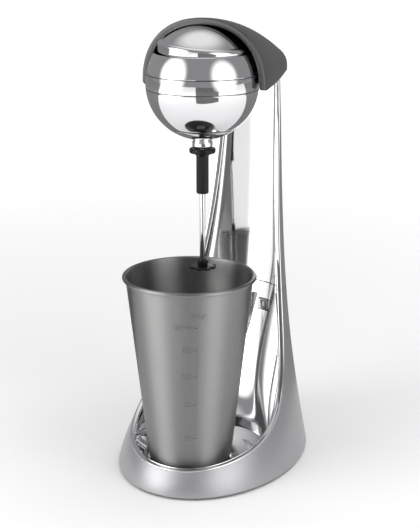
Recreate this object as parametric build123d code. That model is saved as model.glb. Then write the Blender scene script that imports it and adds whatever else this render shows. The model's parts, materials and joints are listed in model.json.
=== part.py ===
"""Milkshake mixer: an oval stand with a leaning column, a ball shaped motor
head under a hood, a stirrer on a straight rod and a loose steel cup.

Millimetres, +Z up, front towards -Y. The origin is the middle of the oval
footprint, at the surface that the feet stand on.
"""
from build123d import *
from math import cos, pi, sin, sqrt
import os

roundness = 0.5523           # Bezier handle that makes a quarter ellipse

# ---------------------------------------------------------------- stand
base_width = 136.0
base_depth = 188.0
foot_height = 2.0            # shell edge above the table
column_top = 281.5
parting_height = 117.5       # joint between the lower and upper casings
parting_gap = 0.3
shell_wall = 2.0
liner_wall = 1.5
liner_gap = 0.6              # radial gap between shell and liner
trim_depth = 1.8             # height of the bright lip trim
tray_floor = 14.5            # top face of the cup tray

# Side of the stand as a Bezier curve of (half width, front, height) of its
# full oval. The back of the oval is upright, at back_end.
front_end = -base_depth / 2
back_end = base_depth / 2
column_half_width = 23.3
stand_line = [
    (base_width / 2, front_end, foot_height),
    (base_width / 2 - 11.7, front_end + 9.0, 55.0),
    (column_half_width + 3.7, back_end - 34.0, 90.0),
    (column_half_width, back_end - 30.0, column_top),
]

# Lip line of the stand seen from the side, a Bezier curve of (y, z).
lip_front = (front_end + 2.5, 18.0)
lip_sweep = (18.5, 32.0)
lip_knee = (back_end - 37.5, 60.0)
lip_top = (back_end - 12.5, column_top + 0.5)

# Trough of the liner as a Bezier curve of (half width, back, height) of its
# oval, which is centred on trough_centre.
trough_centre = front_end + 44.0
trough_rise = 8.0            # the trough's form runs on above the column
trough_line = [
    (base_width / 2 - 11.0, 2.0, tray_floor),
    (base_width / 2 - 8.0, back_end - 44.0, 18.0),
    (base_width / 2 - 14.0, back_end - 22.0, 55.0),
    (base_width / 2, back_end - 8.0, column_top + trough_rise),
]
loft_rings = 12

# ---------------------------------------------------------------- cup
cup_wall = 0.7
cup_bottom_radius = 29.9
cup_top_radius = 45.3
cup_height = 136.8
cup_rim_tube = 1.5
cup_corner = 4.0
seat_gap = 1.2               # between the cup and its seat ring
seat_width = 4.2
seat_height = 3.0
seat_to_front = 9.8          # from the seat ring to the stand's front
cup_y = front_end + seat_to_front + seat_width + seat_gap + cup_bottom_radius
mixing_shift = 25.4          # from the cup in its tray back to the spindle

# ---------------------------------------------------------------- head
spindle_y = cup_y + mixing_shift
ball_radius = 39.7
ball_height = column_top + 3.8   # centre of the ball
bowl_wall = 1.8
band_bottom = -3.0           # band edges, from the ball centre
band_top = 6.5
band_sleeve = 1.5            # wall of the sleeve inside the band
sleeve_rise = 1.4            # sleeve above the band
seam = 0.3                   # visible gap between the ball's pieces
cap_radius = 24.5            # bottom cap where it leaves the ball
cap_lap = 3.0                # flat rim of the cap under the bowl's edge
cap_edge = ball_height - sqrt(ball_radius**2 - cap_radius**2)
cap_drop = 8.1               # depth of the cap below its edge
cap_bottom = cap_edge - cap_drop
bowl_mouth = 33.5            # radius of the opening under the switch dome

hood_wall = 2.4
hood_bottom = column_top + 0.3
hood_roundness = 0.61        # Bezier handle, a little squarer than an ellipse
hood_side_gap = 6.3          # between the ball and the hood's mouth
hood_top_gap = 5.0
hood_overhang = 1.3          # hood past the column's sides at the back
hood_back = back_end - 0.4
hood_back_gap = 1.7          # between the head plate and the hood's back
hood_rings = 5

# ---------------------------------------------------------------- switch
dome_radius = 31.6           # rocking dome on top of the ball
dome_round = 3.8             # width of the dome's rounded shoulder
dome_wall = 2.4
dome_skin = ball_radius - 0.2    # the dome's top follows the ball
dome_corner = dome_radius - dome_round
dome_corner_height = ball_height + sqrt(dome_skin**2 - dome_corner**2)
dome_rim_height = dome_corner_height - 2.9
dome_edge_height = dome_rim_height - 2.1
pivot_height = dome_edge_height - 4.4
pivot_radius = 1.5
pivot_length = 38.0
rocker_tilt = 5.0            # each way from level; at rest its +X side is down
lug_spacing = 26.0
lug_width = 7.0
lug_thickness = 2.6

# ---------------------------------------------------------------- drive
shaft_radius = 1.6
shaft_flat = 1.2             # from the axis to the flat of the D end
running_gap = 0.05
motor_radius = 18.0
motor_length = 30.5
motor_wall = 1.2
bearing_radius = 4.0
armature_radius = 12.9
magnet_thickness = 3.0
commutator_radius = 4.6
fan_radius = 12.5
fan_blades = 7
collar_radius = 7.2
collar_height = 6.0

# ---------------------------------------------------------------- stirrer
sleeve_top = cap_bottom - collar_height - 0.6
sleeve_flange_radius = 9.3
sleeve_flange_height = 3.2
sleeve_radius = 4.4
sleeve_bottom = sleeve_top - 32.6
shaft_bottom = sleeve_top - 19.4
rod_radius = 2.0
rod_grip = 10.0              # length of rod inside the sleeve
whisk_height = sleeve_bottom - 54.2  # middle of the whisk disc
whisk_radius = 9.7
whisk_thickness = 1.4
whisk_hub_radius = 3.7
whisk_hub_height = 5.0
whisk_notches = 8

# ---------------------------------------------------------------- small parts
rest_width = 16.0
rest_nose = 8.0
rest_front = back_end - 35.5
rest_bottom = 62.0
rest_top = 108.0
button_left = 13.0
button_width = 10.0
button_front = back_end - 33.5
button_bottom = 96.0
button_height = 8.5
button_length = 12.0
button_travel = 3.0
button_gap = 0.4
frame_width = 18.0
frame_thickness = 1.5
frame_back = back_end - 4.0  # back face of the column's steel strip
bracket_thickness = 2.0
bracket_height = pivot_height - 10.6   # underside of the head plate
bracket_width = 26.0
motor_top = bracket_height - 2.4
motor_bottom = motor_top - motor_length
fan_bottom = motor_bottom - 5.1
plate_gap = 0.5
base_plate_thickness = 2.4
foot_radius = 7.5
foot_spread_x = base_width / 2 - 26.0
foot_spread_front = front_end + 42.0
foot_spread_back = back_end - 36.0
screw_radius = 1.5
screw_head_radius = 2.8
inlet_radius = 3.6           # hole of the cable inlet
inlet_height = 13.0
inlet_wall = 1.6

parts = {}


def quarter(start, corner, end):
    """Quarter of an ellipse as a Bezier curve, rounding its corner point."""
    start, corner, end = Vector(start), Vector(corner), Vector(end)
    return Edge.make_bezier(
        start, start + (corner - start) * roundness, end + (corner - end) * roundness, end
    )


def oval(height, half_width, front, back):
    """Closed oval wire at a height."""
    middle = (front + back) / 2
    sides = [(half_width, middle), (0, back), (-half_width, middle), (0, front)]
    corners = [(half_width, back), (-half_width, back), (-half_width, front), (half_width, front)]
    edges = []
    for index, corner in enumerate(corners):
        start = (*sides[index], height)
        end = (*sides[(index + 1) % 4], height)
        edges.append(quarter(start, (*corner, height), end))
    return Wire(edges)


def bezier(points, t):
    """Point at t on a cubic Bezier curve."""
    weights = ((1 - t) ** 3, 3 * t * (1 - t) ** 2, 3 * t**2 * (1 - t), t**3)
    return [sum(w * p[axis] for w, p in zip(weights, points)) for axis in range(3)]


def stand_solid(inset):
    """The stand's full leaning form, drawn in by an inset."""
    rings = []
    for step in range(loft_rings):
        half_width, front, height = bezier(stand_line, step / (loft_rings - 1))
        rings.append(oval(height, half_width - inset, front + inset, back_end - inset))
    return Solid.make_loft(rings)


def trough_solid(outset):
    """The hollow of the tray and column, grown by an outset."""
    rings = []
    for step in range(loft_rings):
        half_width, back, height = bezier(trough_line, step / (loft_rings - 1))
        drop = outset if step == 0 else 0.0
        front = 2 * trough_centre - back
        rings.append(oval(height - drop, half_width + outset, front - outset, back + outset))
    return Solid.make_loft(rings)


def front_space(shift_y=0.0, shift_z=0.0):
    """Everything ahead of the lip line, as wide as the stand."""
    curve = Edge.make_bezier(
        (0, *lip_front), (0, *lip_sweep), (0, *lip_knee), (0, *lip_top)
    )
    far = 2 * front_end
    ceiling = column_top + 60
    outline = Polyline(
        (0, *lip_top),
        (0, lip_top[0], ceiling),
        (0, far, ceiling),
        (0, far, lip_front[1]),
        (0, *lip_front),
    )
    face = make_face([curve] + outline.edges())
    space = extrude(face, amount=base_width, dir=(1, 0, 0), both=True)
    return Pos(0, shift_y, shift_z) * space


def slab(low, high):
    """A wide slab between two heights."""
    return Pos(0, 0, (low + high) / 2) * Box(600, 600, high - low)


def block(x0, x1, y0, y1, z0, z1):
    """A box given by its faces."""
    return Pos((x0 + x1) / 2, (y0 + y1) / 2, (z0 + z1) / 2) * Box(x1 - x0, y1 - y0, z1 - z0)


def rod_z(radius, bottom, top, x=0.0, y=0.0):
    """An upright cylinder between two heights."""
    return Pos(x, y, (bottom + top) / 2) * Cylinder(radius, top - bottom)


def rod_y(radius, front, back, x, z):
    """A cylinder along Y."""
    return Pos(x, (front + back) / 2, z) * Rot(90, 0, 0) * Cylinder(radius, back - front)


def spin(points, y=0.0):
    """Turn a closed outline of (radius, height) about an upright axis."""
    outline = [(r, 0, z) for r, z in points]
    face = make_face(Polyline(*outline, close=True))
    return Pos(0, y, 0) * revolve(face, Axis.Z)


def ball_solid(radius):
    return Pos(0, spindle_y, ball_height) * Sphere(radius)


# ---------------------------------------------------------------- casings
def make_stand():
    skin = stand_solid(0) - stand_solid(shell_wall)
    trim_space = front_space(trim_depth * 0.9, -trim_depth)
    front = front_space()
    shell = skin - trim_space
    band = (stand_solid(0) - stand_solid(shell_wall + liner_gap)) & trim_space
    trim = band - front
    low = slab(-10, parting_height - parting_gap / 2)
    high = slab(parting_height + parting_gap / 2, column_top + 40)
    inlet = rod_y(inlet_radius + inlet_wall, 0, base_depth, 0, inlet_height)
    parts["lower_shell"] = (shell & low) - inlet
    parts["upper_shell"] = shell & high
    parts["lower_lip_trim"] = trim & low
    parts["upper_lip_trim"] = trim & high

    inner = stand_solid(shell_wall + liner_gap + liner_wall) & trough_solid(0)
    outer = stand_solid(shell_wall + liner_gap) & trough_solid(liner_wall)
    liner = outer - inner - front
    window = block(
        button_left - button_gap,
        button_left + button_width + button_gap,
        button_front - 10,
        button_front + 30,
        button_bottom - button_gap,
        button_bottom + button_height + button_gap,
    )
    parts["lower_liner"] = (liner & low) - window
    parts["upper_liner"] = liner & high


def make_cup_fittings():
    seat_inner = cup_bottom_radius + seat_gap
    seat = spin(
        [
            (seat_inner, tray_floor),
            (seat_inner + seat_width, tray_floor),
            (seat_inner + seat_width - 1.2, tray_floor + seat_height),
            (seat_inner + 0.6, tray_floor + seat_height),
        ],
        cup_y,
    )
    parts["cup_seat_ring"] = seat
    outline = Polyline(
        (-rest_width / 2, rest_front + 25, rest_bottom),
        (-rest_width / 2, rest_front + 4, rest_bottom),
        (-rest_nose / 2, rest_front, rest_bottom),
        (rest_nose / 2, rest_front, rest_bottom),
        (rest_width / 2, rest_front + 4, rest_bottom),
        (rest_width / 2, rest_front + 25, rest_bottom),
        close=True,
    )
    rib = extrude(make_face(outline), amount=rest_top - rest_bottom, dir=(0, 0, 1))
    parts["cup_guide_rib"] = rib & trough_solid(0)


def make_cup():
    bottom = tray_floor + 1.0
    top = bottom + cup_height
    slope = (cup_top_radius - cup_bottom_radius) / cup_height
    outside = spin(
        [(0, bottom), (cup_bottom_radius, bottom), (cup_top_radius, top), (0, top)], cup_y
    )
    outside = fillet(outside.edges().sort_by(Axis.Z)[0], cup_corner)
    inner_bottom = cup_bottom_radius - cup_wall + slope * cup_wall
    inside = spin(
        [
            (0, bottom + cup_wall),
            (inner_bottom, bottom + cup_wall),
            (cup_top_radius - cup_wall, top),
            (cup_top_radius - cup_wall, top + 1),
            (0, top + 1),
        ],
        cup_y,
    )
    inside = fillet(inside.edges().sort_by(Axis.Z)[0], cup_corner - cup_wall)
    ring = Pos(0, cup_y, top) * Torus(cup_top_radius + cup_rim_tube - cup_wall, cup_rim_tube)
    parts["cup"] = (outside - inside) + ring


def make_bottom():
    inset = shell_wall + plate_gap
    low = foot_height + 0.4
    plate = stand_solid(inset) & slab(low, low + base_plate_thickness)
    feet = []
    screws = []
    spots = []
    for side in (-1, 1):
        spots.append((side * foot_spread_x, foot_spread_front))
        spots.append((side * foot_spread_x, foot_spread_back))
    for x, y in spots:
        feet.append(rod_z(foot_radius, 0, low, x, y))
        inside_x = x * 0.6
        plate -= rod_z(screw_radius + 0.1, 0, 20, inside_x, y)
        head = rod_z(screw_head_radius, low - 1.6, low, inside_x, y)
        screws.append(head + rod_z(screw_radius, low, low + base_plate_thickness, inside_x, y))
    parts["base_plate"] = plate
    parts["rubber_feet"] = Compound(children=feet)
    parts["base_screws"] = Compound(children=screws)
    weight_low = low + base_plate_thickness
    weight_high = tray_floor - liner_wall - 0.6
    weight = block(-20, 20, foot_spread_front + 4, foot_spread_back - 22, weight_low, weight_high)
    weight = fillet(weight.edges().filter_by(Axis.Z), 6)
    parts["base_weight"] = weight


def make_column_frame():
    low = foot_height + 0.4 + base_plate_thickness
    front = frame_back - frame_thickness
    half = frame_width / 2
    strip = block(-half, half, front, frame_back, low, bracket_height - 2)
    foot = block(-half, half, front - 22, frame_back, low, low + frame_thickness)
    frame = strip + foot
    frame -= rod_y(inlet_radius + inlet_wall + plate_gap, frame_back - 5, base_depth, 0, inlet_height)
    leg_low = column_top + 1.5
    leg = block(-half, half, front - bracket_thickness, front, leg_low, bracket_height)
    arm = block(
        -bracket_width / 2,
        bracket_width / 2,
        spindle_y,
        front,
        bracket_height,
        bracket_height + bracket_thickness,
    )
    inside = sqrt((ball_radius - bowl_wall) ** 2 - (bracket_height - ball_height + 2) ** 2)
    disc = rod_z(inside - 0.3, bracket_height, bracket_height + bracket_thickness, 0, spindle_y)
    hole = rod_z(bearing_radius + 2, bracket_height - 1, bracket_height + 5, 0, spindle_y)
    screws = []
    for x in (-5, 5):
        z = (leg_low + bracket_height) / 2
        hole_y = rod_y(screw_radius + 0.1, front - 5, frame_back + 3, x, z)
        frame -= hole_y
        leg -= hole_y
        head = rod_y(screw_head_radius, front - bracket_thickness - 1.5, front - bracket_thickness, x, z)
        stem = rod_y(screw_radius, front - bracket_thickness, frame_back + 0.8, x, z)
        screws.append(head + stem)
    parts["column_frame"] = frame
    parts["head_bracket"] = (arm + disc + leg) - hole
    parts["bracket_screws"] = Compound(children=screws)


# ---------------------------------------------------------------- head
def arch(y, half_width, top, foot):
    """Hood section in an XZ plane: an arch on short upright sides."""
    spring = ball_height
    points = [
        (half_width, y, spring),
        (half_width, y, spring + (top - spring) * hood_roundness),
        (half_width * hood_roundness, y, top),
        (0, y, top),
    ]
    mirrored = [(-x, y, z) for x, y, z in reversed(points)]
    right = Edge.make_line((half_width, y, foot), points[0])
    left = Edge.make_line(mirrored[-1], (-half_width, y, foot))
    base = Edge.make_line((-half_width, y, foot), (half_width, y, foot))
    return Wire([right, Edge.make_bezier(*points), Edge.make_bezier(*mirrored), left, base])


def hood_solid(inset, drop):
    """The hood's form, falling and narrowing towards the column."""
    rings = []
    front_half = ball_radius + hood_side_gap
    front_top = ball_height + ball_radius + hood_top_gap
    back_half = column_half_width + hood_overhang
    back_top = bracket_height + bracket_thickness + hood_wall + hood_back_gap
    last = hood_rings - 1
    for index in range(hood_rings):
        t = index / last
        y = spindle_y + (hood_back - spindle_y) * t
        half_width = front_half + (back_half - front_half) * t**1.25
        top = front_top + (back_top - front_top) * t**1.5
        shift = 0.0
        if inset and index == 0:
            shift = -1.0
        if inset and index == last:
            shift = -inset
        rings.append(arch(y + shift, half_width - inset, top - inset, drop))
    return Solid.make_loft(rings)


def make_hood():
    outside = hood_solid(0, hood_bottom)
    inside = hood_solid(hood_wall, hood_bottom - 5)
    parts["hood"] = outside - inside
    panel_top = hood_bottom + 2.0
    panel = hood_solid(hood_wall + 0.2, hood_bottom) & slab(hood_bottom, panel_top)
    panel -= block(-80, 80, -80, 4, 200, 400)
    panel -= ball_solid(ball_radius + 0.5)
    half = frame_width / 2 + 3.4
    panel -= block(-half, half, frame_back - 8, frame_back + 0.4, 200, 400)
    parts["hood_underpanel"] = panel


def make_ball():
    outer = ball_solid(ball_radius)
    inner = ball_solid(ball_radius - bowl_wall)
    shell = outer - inner
    band_low = ball_height + band_bottom
    band_high = ball_height + band_top
    parts["lower_bowl"] = shell & slab(cap_edge + seam, band_low - seam)
    mouth = ball_height + sqrt(ball_radius**2 - bowl_mouth**2)
    upper = shell & slab(band_high + seam, mouth)
    slot = block(
        -bracket_width / 2 - plate_gap,
        bracket_width / 2 + plate_gap,
        spindle_y,
        spindle_y + ball_radius + 5,
        bracket_height - plate_gap,
        bracket_height + bracket_thickness + plate_gap,
    )
    parts["upper_bowl"] = upper - slot

    sleeve_outer = sqrt((ball_radius - bowl_wall) ** 2 - (band_top + sleeve_rise + 0.1) ** 2) - 0.1
    ring = shell & slab(band_low, band_high)
    web = rod_z(ball_radius - bowl_wall + 0.5, band_low, band_high, 0, spindle_y) & outer
    web -= rod_z(sleeve_outer - band_sleeve, 200, 400, 0, spindle_y)
    sleeve = rod_z(sleeve_outer, band_low - 4, band_high + sleeve_rise, 0, spindle_y)
    sleeve -= rod_z(sleeve_outer - band_sleeve, 200, 400, 0, spindle_y)
    parts["ball_band"] = ring + web + sleeve

    cap = spin(
        [
            (cap_radius, cap_edge),
            (collar_radius + 1, cap_bottom),
            (shaft_radius + 1.2, cap_bottom),
            (shaft_radius + 1.2, cap_bottom + bowl_wall),
            (collar_radius + 1, cap_bottom + bowl_wall),
            (cap_radius - cap_lap, cap_edge),
        ],
        spindle_y,
    )
    parts["ball_cap"] = cap
    collar_low = cap_bottom - collar_height
    collar = rod_z(collar_radius, collar_low, cap_bottom, 0, spindle_y)
    collar = chamfer(collar.edges().filter_by(GeomType.CIRCLE).sort_by(Axis.Z)[0], 1.0)
    parts["shaft_collar"] = collar - rod_z(shaft_radius + 0.4, 0, 400, 0, spindle_y)


# ---------------------------------------------------------------- switch
def make_switch():
    pivot = Pos(0, spindle_y, pivot_height)
    outer_radius = dome_skin
    corner = dome_corner
    corner_z = dome_corner_height
    inner_radius = outer_radius - dome_wall
    inner_corner = corner - 1.6
    inner_z = ball_height + sqrt(inner_radius**2 - inner_corner**2)
    profile = [
        Edge.make_three_point_arc(
            (0, 0, ball_height + outer_radius),
            (
                outer_radius * sin(0.36),
                0,
                ball_height + outer_radius * cos(0.36),
            ),
            (corner, 0, corner_z),
        ),
        Edge.make_three_point_arc(
            (corner, 0, corner_z),
            (dome_radius - 0.8, 0, (corner_z + dome_rim_height) / 2 + 0.4),
            (dome_radius, 0, dome_rim_height),
        ),
        Edge.make_line((dome_radius, 0, dome_rim_height), (dome_radius - 1.8, 0, dome_edge_height)),
        Edge.make_line((dome_radius - 1.8, 0, dome_edge_height), (inner_corner, 0, dome_edge_height)),
        Edge.make_line((inner_corner, 0, dome_edge_height), (inner_corner, 0, inner_z)),
        Edge.make_three_point_arc(
            (inner_corner, 0, inner_z),
            (
                inner_radius * sin(0.33),
                0,
                ball_height + inner_radius * cos(0.33),
            ),
            (0, 0, ball_height + inner_radius),
        ),
        Edge.make_line((0, 0, ball_height + inner_radius), (0, 0, ball_height + outer_radius)),
    ]
    dome = Pos(0, spindle_y, 0) * revolve(make_face(profile), Axis.Z)
    lugs = []
    for side in (-1, 1):
        y = spindle_y + side * lug_spacing / 2
        lug_top = ball_height + sqrt(inner_radius**2 - (lug_spacing / 2 - lug_thickness) ** 2)
        lug = block(
            -lug_width / 2,
            lug_width / 2,
            y - lug_thickness / 2,
            y + lug_thickness / 2,
            pivot_height,
            lug_top + 0.4,
        )
        lug += rod_y(lug_width / 2, y - lug_thickness / 2, y + lug_thickness / 2, 0, pivot_height)
        lugs.append(lug)
    for lug in lugs:
        dome += lug
    bore = rod_y(pivot_radius + running_gap, spindle_y - 25, spindle_y + 25, 0, pivot_height)
    dome -= bore
    dome = Pos(0, -spindle_y, -pivot_height) * dome
    parts["switch_dome"] = pivot * Rot(0, rocker_tilt, 0) * dome

    half = pivot_length / 2
    pin = rod_y(pivot_radius, spindle_y - half, spindle_y + half, 0, pivot_height)
    parts["switch_pin"] = pin
    floor = bracket_height + bracket_thickness
    cradle = block(-5, 5, spindle_y - half, spindle_y + half, floor, floor + 1.2)
    for side in (-1, 1):
        y = spindle_y + side * (half - 1.5)
        cradle += block(-4, 4, y - 1.5, y + 1.5, floor, pivot_height + 2.6)
    parts["switch_cradle"] = cradle - pin
    body = block(-7, 7, spindle_y - 8, spindle_y + 8, floor + 1.2, floor + 5.2)
    for side in (-1, 1):
        body += rod_z(1.5, floor + 5.2, floor + 6.4, side * 4.5, spindle_y)
    parts["switch_block"] = body


# ---------------------------------------------------------------- drive
def make_motor():
    can = rod_z(motor_radius, motor_bottom, motor_top, 0, spindle_y)
    can -= rod_z(motor_radius - motor_wall, motor_bottom + motor_wall, motor_top + 1, 0, spindle_y)
    can -= rod_z(bearing_radius, 0, 400, 0, spindle_y)
    parts["motor_can"] = can
    cap = rod_z(motor_radius, motor_top, bracket_height, 0, spindle_y)
    cap -= rod_z(bearing_radius, 0, 400, 0, spindle_y)
    brushes = []
    brush_low = motor_top - 5.0
    for side in (-1, 1):
        x0 = 8.5 if side > 0 else -13.0
        holder = block(x0, x0 + 4.5, spindle_y - 3, spindle_y + 3, brush_low - 0.6, motor_top)
        near = commutator_radius + running_gap
        brush_x0 = near if side > 0 else -11.5
        brush_x1 = 11.5 if side > 0 else -near
        brush = block(brush_x0, brush_x1, spindle_y - 1.6, spindle_y + 1.6, brush_low, motor_top - 1.6)
        holder -= brush
        cap += holder
        brushes.append(brush)
    parts["motor_end_cap"] = cap
    parts["motor_brushes"] = Compound(children=brushes)
    magnet_outer = motor_radius - motor_wall
    tube = rod_z(magnet_outer, motor_bottom + 4, motor_top - 8, 0, spindle_y)
    tube -= rod_z(magnet_outer - magnet_thickness, 0, 400, 0, spindle_y)
    tube -= block(-5, 5, spindle_y - 30, spindle_y + 30, 0, 400)
    parts["motor_magnets"] = tube
    bore = rod_z(shaft_radius + running_gap, 0, 400, 0, spindle_y)
    low = rod_z(bearing_radius, motor_bottom - 0.8, motor_bottom + 3.2, 0, spindle_y)
    high = rod_z(bearing_radius, motor_top - 0.8, bracket_height + 1.0, 0, spindle_y)
    parts["lower_bearing"] = low - bore
    parts["upper_bearing"] = high - bore

    shaft = rod_z(shaft_radius, shaft_bottom, bracket_height + 1.4, 0, spindle_y)
    flat = block(
        shaft_flat, 10, spindle_y - 10, spindle_y + 10, shaft_bottom - 1, sleeve_top + 0.2
    )
    parts["motor_shaft"] = shaft - flat
    on_shaft = rod_z(shaft_radius, 0, 400, 0, spindle_y)
    stack = rod_z(armature_radius, motor_bottom + 5, motor_top - 9, 0, spindle_y)
    for step in range(5):
        angle = 72 * step
        slot = Rot(0, 0, angle) * block(armature_radius - 6, 20, -1.0, 1.0, 0, 400)
        stack -= Pos(0, spindle_y, 0) * slot
    parts["armature"] = stack - on_shaft
    drum = rod_z(commutator_radius, motor_top - 6.4, motor_top - 1.2, 0, spindle_y)
    parts["commutator"] = drum - on_shaft
    hub = rod_z(3.6, fan_bottom, fan_bottom + 3.6, 0, spindle_y)
    for step in range(fan_blades):
        blade = block(2.8, fan_radius, -0.6, 0.6, fan_bottom + 0.4, fan_bottom + 3.2)
        blade = Rot(0, 0, 360 / fan_blades * step) * blade
        hub += Pos(0, spindle_y, 0) * blade
    parts["cooling_fan"] = hub - on_shaft
    screws = []
    for side in (-1, 1):
        y = spindle_y + side * 13
        x = side * 9
        top = bracket_height + bracket_thickness
        screws.append(
            rod_z(screw_head_radius, top, top + 1.2, x, y) + rod_z(screw_radius, motor_top + 0.4, top, x, y)
        )
    for screw in screws:
        parts["head_bracket"] -= screw
        parts["motor_end_cap"] -= screw
    parts["motor_screws"] = Compound(children=screws)


def make_stirrer():
    flange_low = sleeve_top - sleeve_flange_height
    sleeve = spin(
        [
            (0, sleeve_bottom),
            (sleeve_radius, sleeve_bottom),
            (sleeve_radius, flange_low - 2.5),
            (sleeve_radius + 2.2, flange_low),
            (sleeve_flange_radius, flange_low),
            (sleeve_flange_radius, sleeve_top),
            (0, sleeve_top),
        ],
        spindle_y,
    )
    socket = rod_z(shaft_radius + running_gap, shaft_bottom - 1.0, sleeve_top + 1, 0, spindle_y)
    socket -= block(
        shaft_flat + running_gap, 10, spindle_y - 10, spindle_y + 10, shaft_bottom - 2, sleeve_top + 2
    )
    grip_top = sleeve_bottom + rod_grip
    rod_bottom = whisk_height - whisk_thickness / 2
    rod = rod_z(rod_radius, rod_bottom, grip_top, 0, spindle_y)
    parts["coupling_sleeve"] = sleeve - socket - rod_z(rod_radius, 0, grip_top, 0, spindle_y)
    parts["stirrer_rod"] = rod
    disc = rod_z(
        whisk_radius,
        whisk_height - whisk_thickness / 2,
        whisk_height + whisk_thickness / 2,
        0,
        spindle_y,
    )
    for step in range(whisk_notches):
        turn = 2 * pi * (step + 0.5) / whisk_notches
        x = (whisk_radius + 0.5) * cos(turn)
        y = spindle_y + (whisk_radius + 0.5) * sin(turn)
        disc -= rod_z(1.7, 0, 400, x, y)
    top = whisk_height + whisk_thickness / 2
    hub = rod_z(whisk_hub_radius, top, top + whisk_hub_height, 0, spindle_y)
    hub = chamfer(hub.edges().filter_by(GeomType.CIRCLE).sort_by(Axis.Z)[-1], 1.0)
    hole = rod_z(rod_radius, 0, 400, 0, spindle_y)
    parts["whisk_disc"] = disc - hole
    parts["whisk_hub"] = hub - hole


# ---------------------------------------------------------------- interlock and wiring
def make_interlock():
    x0 = button_left
    x1 = button_left + button_width
    z0 = button_bottom
    z1 = button_bottom + button_height
    back = button_front + button_length
    button = block(x0, x1, button_front, back, z0, z1)
    slot_x = (x0 + x1) / 2
    button -= block(slot_x - 0.6, slot_x + 0.6, button_front - 1, button_front + 1.2, z0 + 2.2, z1 - 1.6)
    parts["cup_button"] = button
    travel_back = back + button_travel
    housing_front = travel_back + 0.6
    parts["micro_switch"] = block(x0 - 2, x1 - 4, housing_front, housing_front + 5, z0 - 4, z1 + 3)


def make_wiring():
    low = foot_height + 0.4 + base_plate_thickness
    board_back = frame_back - 28.0
    middle = board_back - 12.0
    board = block(-24, 24, board_back - 24, board_back, low + 4, low + 5.6)
    for x, size in ((-14, 7), (0, 5), (13, 8)):
        board += block(x - size / 2, x + size / 2, middle - 4, middle + 4, low + 5.6, low + 5.6 + size * 0.8)
    for x in (-20, 20):
        board += rod_z(2.2, low, low + 4, x, middle)
    parts["circuit_board"] = board
    lead_x = frame_width / 2 + 1.2
    lead_y = frame_back - 3.0
    lead = block(lead_x, lead_x + 1.4, lead_y, lead_y + 1.4, low + 3, bracket_height - 3)
    lead += block(lead_x, lead_x + 1.4, board_back, lead_y + 1.4, low + 3, low + 4.4)
    parts["wiring_lead"] = lead
    bush = rod_y(inlet_radius + inlet_wall, frame_back - 10, back_end + 0.3, 0, inlet_height)
    bush -= rod_y(inlet_radius, frame_back - 20, back_end + 9, 0, inlet_height)
    parts["inlet_bush"] = bush


def write_parts():
    os.makedirs("parts", exist_ok=True)
    for name, shape in parts.items():
        export_step(shape, f"parts/{name}.step")


make_stand()
make_cup_fittings()
make_cup()
make_bottom()
make_column_frame()
make_hood()
make_ball()
make_switch()
make_motor()
make_stirrer()
make_interlock()
make_wiring()
write_parts()
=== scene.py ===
"""Milkshake mixer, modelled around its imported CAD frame.

An oval silver stand leans up into a column that carries a ball shaped motor
head under a hood. A steel cup stands in the tray, and a stirrer hangs from
the head. All lengths are metres, +Z up, front towards -Y.
"""
import json
import math
from functools import partial

import bpy
from mathutils import Matrix, Vector


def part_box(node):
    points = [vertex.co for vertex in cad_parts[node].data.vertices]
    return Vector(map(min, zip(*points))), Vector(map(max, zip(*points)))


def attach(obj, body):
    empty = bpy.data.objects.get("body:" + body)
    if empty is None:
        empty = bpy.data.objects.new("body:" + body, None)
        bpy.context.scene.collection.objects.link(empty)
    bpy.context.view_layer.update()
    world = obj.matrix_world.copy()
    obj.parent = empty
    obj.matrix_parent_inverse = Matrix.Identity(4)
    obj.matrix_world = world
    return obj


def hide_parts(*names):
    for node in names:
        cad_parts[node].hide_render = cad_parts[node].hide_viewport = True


bl_info = {
    "name": "Milkshake Mixer",
    "version": (1, 0, 0),
    "blender": (4, 5, 0),
    "location": "View3D > Sidebar > Mixer",
    "description": "Models a milkshake mixer around its packed frame",
    "category": "Object",
}

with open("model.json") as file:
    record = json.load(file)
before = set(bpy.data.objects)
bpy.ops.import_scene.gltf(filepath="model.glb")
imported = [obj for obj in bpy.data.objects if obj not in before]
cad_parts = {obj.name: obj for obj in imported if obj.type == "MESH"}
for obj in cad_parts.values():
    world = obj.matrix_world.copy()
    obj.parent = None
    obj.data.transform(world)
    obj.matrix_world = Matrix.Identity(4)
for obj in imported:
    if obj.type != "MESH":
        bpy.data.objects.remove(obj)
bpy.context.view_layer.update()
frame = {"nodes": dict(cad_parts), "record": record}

MM = 0.001
FACET = 96                   # faces round a turned piece
STAND = "stand"


# ------------------------------------------------------------ sizes from the frame
def centre(node):
    low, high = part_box(node)
    return (low + high) / 2


def half_size(node):
    low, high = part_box(node)
    return (high - low) / 2


SPINDLE_Y = centre("shaft_collar").y
CUP_Y = centre("cup").y
CUP_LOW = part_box("cup")[0].z
BALL_RADIUS = half_size("ball_band").x
COLUMN_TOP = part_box("upper_shell")[1].z
BALL_HEIGHT = COLUMN_TOP + 3.8 * MM
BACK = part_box("lower_shell")[1].y
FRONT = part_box("lower_shell")[0].y
BASE_HALF = half_size("lower_shell").x
PARTING = (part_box("lower_shell")[1].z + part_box("upper_shell")[0].z) / 2
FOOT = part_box("lower_shell")[0].z
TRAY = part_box("cup_seat_ring")[0].z
HOOD_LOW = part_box("hood")[0].z
CUP_FOOT = 29.9 * MM         # outside radius at the cup's bottom
CUP_MOUTH = 45.3 * MM        # outside radius below its rim
CUP_RISE = 136.8 * MM        # height from one to the other
CAMERA_PLACE = (0.3357, -0.8756, 0.4210)
CAMERA_AIM = (-0.34673, 0.89530, -0.27966)
CAMERA_TURN = math.radians(21.2)


length = partial(bpy.props.FloatProperty, unit="LENGTH")
colour = partial(bpy.props.FloatVectorProperty, subtype="COLOR", size=3)


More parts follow.
